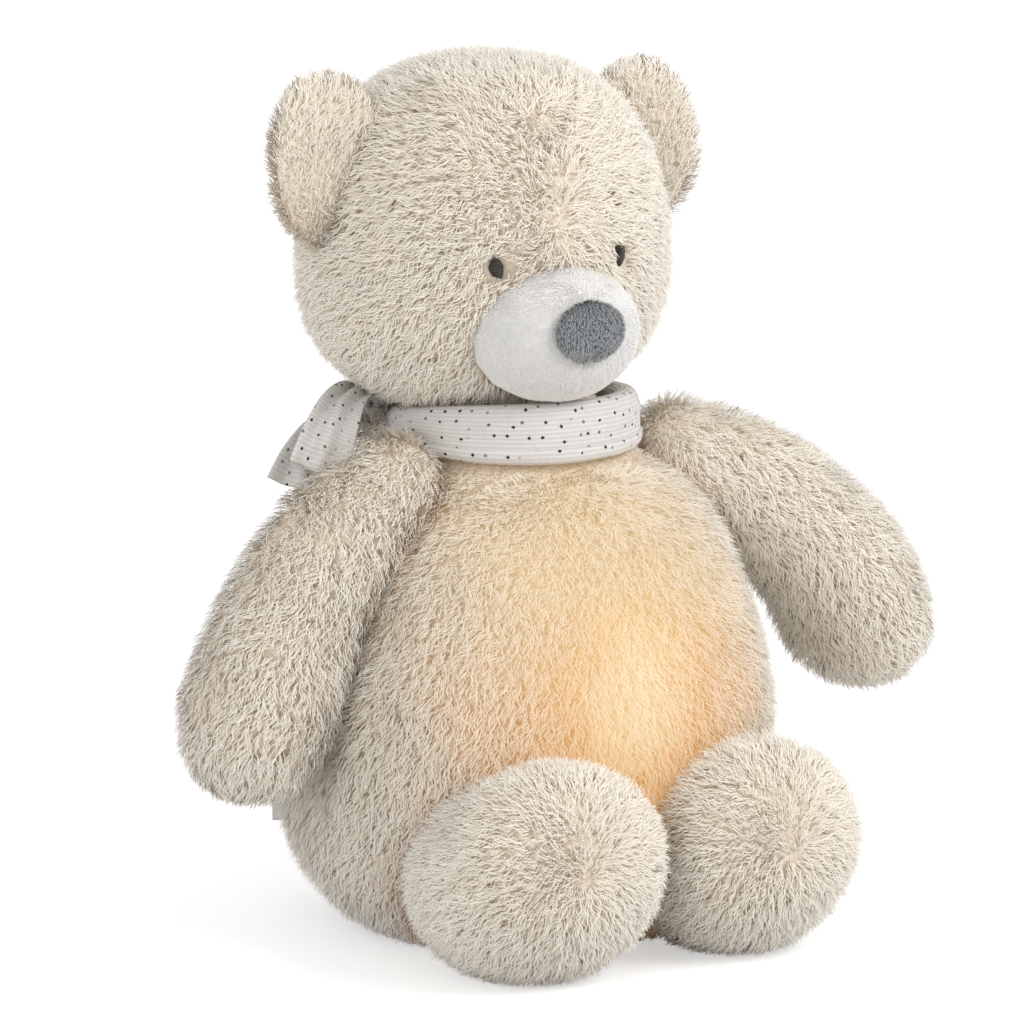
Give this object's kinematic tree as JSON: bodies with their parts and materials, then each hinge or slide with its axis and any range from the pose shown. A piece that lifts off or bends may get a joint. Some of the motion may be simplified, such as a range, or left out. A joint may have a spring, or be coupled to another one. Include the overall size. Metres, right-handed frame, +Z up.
{
  "type": "plush night light",
  "caption": "Seated plush bear with a dotted neck scarf and a removable round light and sound module in a pocket behind its belly.",
  "frame": {"origin": "middle of the flat seat under the torso, on the surface that the bear sits on", "axes": "+Z up, -Y forward out of the bear's face and belly, so -X is the bear's own right side"},
  "size_m": [0.3035, 0.1997, 0.3125],
  "materials": {
    "cream_plush": "long curly pile",
    "white_velour": "short velour pile",
    "grey_velour": "short velour pile",
    "dark_thread": "satin stitch embroidery",
    "dotted_muslin": "ribbed muslin with small printed dots",
    "label_tape": "plain woven tape",
    "lining_cloth": "plain woven",
    "closure_tape": "hook and loop",
    "frosted_plastic": "frosted, translucent",
    "white_plastic": "fine texture",
    "grey_plastic": "satin",
    "black_plastic": "satin",
    "circuit_board": "solder mask",
    "led_resin": "clear epoxy over phosphor",
    "microphone_metal": "plain",
    "cell_sleeve": "printed sleeve, left plain",
    "contact_metal": "nickel plated",
    "screw_steel": "plain",
    "cable_jacket": "plain"
  },
  "bodies": {
    "torso": {"torso": "cream_plush", "pocket_lining": "lining_cloth", "loop_strip": "closure_tape", "seam_label": "label_tape", "scarf_band": "dotted_muslin", "scarf_knot": "dotted_muslin", "scarf_tail_front": "dotted_muslin", "scarf_tail_back": "dotted_muslin"},
    "head": {"head": "cream_plush", "ear_right": "cream_plush", "ear_left": "cream_plush", "muzzle": "white_velour", "nose": "grey_velour", "eye_right": "dark_thread", "eye_left": "dark_thread"},
    "arm_right": {"arm_right": "cream_plush"},
    "arm_left": {"arm_left": "cream_plush"},
    "leg_right": {"leg_right": "cream_plush"},
    "leg_left": {"leg_left": "cream_plush"},
    "back_flap": {"back_flap": "cream_plush", "hook_strip": "closure_tape"},
    "light_module": {"light_diffuser": "frosted_plastic", "front_housing": "white_plastic", "rear_housing": "white_plastic", "led_board": "circuit_board", "control_board": "circuit_board", "speaker": "black_plastic", "microphone": "microphone_metal", "led_1": "led_resin", "led_2": "led_resin", "led_3": "led_resin", "led_4": "led_resin", "led_5": "led_resin", "led_6": "led_resin", "battery_cell_1": "cell_sleeve", "battery_cell_2": "cell_sleeve", "battery_cell_3": "cell_sleeve", "contact_plate_1": "contact_metal", "contact_plate_2": "contact_metal", "contact_plate_3": "contact_metal", "contact_spring_1": "contact_metal", "contact_spring_2": "contact_metal", "contact_spring_3": "contact_metal", "housing_screw_1": "screw_steel", "housing_screw_2": "screw_steel", "housing_screw_3": "screw_steel", "battery_door": "white_plastic", "battery_door_screw": "screw_steel", "board_cable": "cable_jacket", "speaker_cable": "cable_jacket"},
    "light_button": {"light_button": "grey_plastic"},
    "sound_button": {"sound_button": "grey_plastic"},
    "volume_button": {"volume_button": "grey_plastic"},
    "power_switch": {"power_switch": "black_plastic"}
  },
  "joints": [
    {"name": "head_turn", "type": "hinge", "parent": "torso", "child": "head", "pos_m": [0, 0.01, 0.1923], "axis": [0, 0, 1], "range_deg": [-25, 25], "stiffness_Nm_per_rad": 0.3},
    {"name": "arm_right_swing", "type": "hinge", "parent": "torso", "child": "arm_right", "pos_m": [-0.06, 0, 0.167], "axis": [-1, 0, 0], "range_deg": [0, 60], "stiffness_Nm_per_rad": 0.15},
    {"name": "arm_left_swing", "type": "hinge", "parent": "torso", "child": "arm_left", "pos_m": [0.06, 0, 0.167], "axis": [-1, 0, 0], "range_deg": [0, 60], "stiffness_Nm_per_rad": 0.15},
    {"name": "leg_right_swing", "type": "hinge", "parent": "torso", "child": "leg_right", "pos_m": [-0.042, -0.036, 0.033], "axis": [1, 0, 0], "range_deg": [0, 45], "stiffness_Nm_per_rad": 0.4},
    {"name": "leg_left_swing", "type": "hinge", "parent": "torso", "child": "leg_left", "pos_m": [0.042, -0.036, 0.033], "axis": [1, 0, 0], "range_deg": [0, 45], "stiffness_Nm_per_rad": 0.4},
    {"name": "module_slide", "type": "slide", "parent": "torso", "child": "light_module", "axis": [0, 1, 0], "range_m": [0, 0.13]},
    {"name": "back_flap_hinge", "type": "hinge", "parent": "torso", "child": "back_flap", "pos_m": [0, 0.066, 0.1505], "axis": [1, 0, 0], "range_deg": [0, 120]},
    {"name": "light_button_press", "type": "slide", "parent": "light_module", "child": "light_button", "axis": [0, -1, 0], "range_m": [0, 0.0008], "stiffness_N_per_m": 800},
    {"name": "sound_button_press", "type": "slide", "parent": "light_module", "child": "sound_button", "axis": [0, -1, 0], "range_m": [0, 0.0008], "stiffness_N_per_m": 800},
    {"name": "volume_button_press", "type": "slide", "parent": "light_module", "child": "volume_button", "axis": [0, -1, 0], "range_m": [0, 0.0008], "stiffness_N_per_m": 800},
    {"name": "power_switch_slide", "type": "slide", "parent": "light_module", "child": "power_switch", "axis": [1, 0, 0], "range_m": [0, 0.004]}
  ],
  "couplings": [
    {"joint": "back_flap_hinge", "follows": "module_slide", "rad_per_m": 16.1}
  ]
}
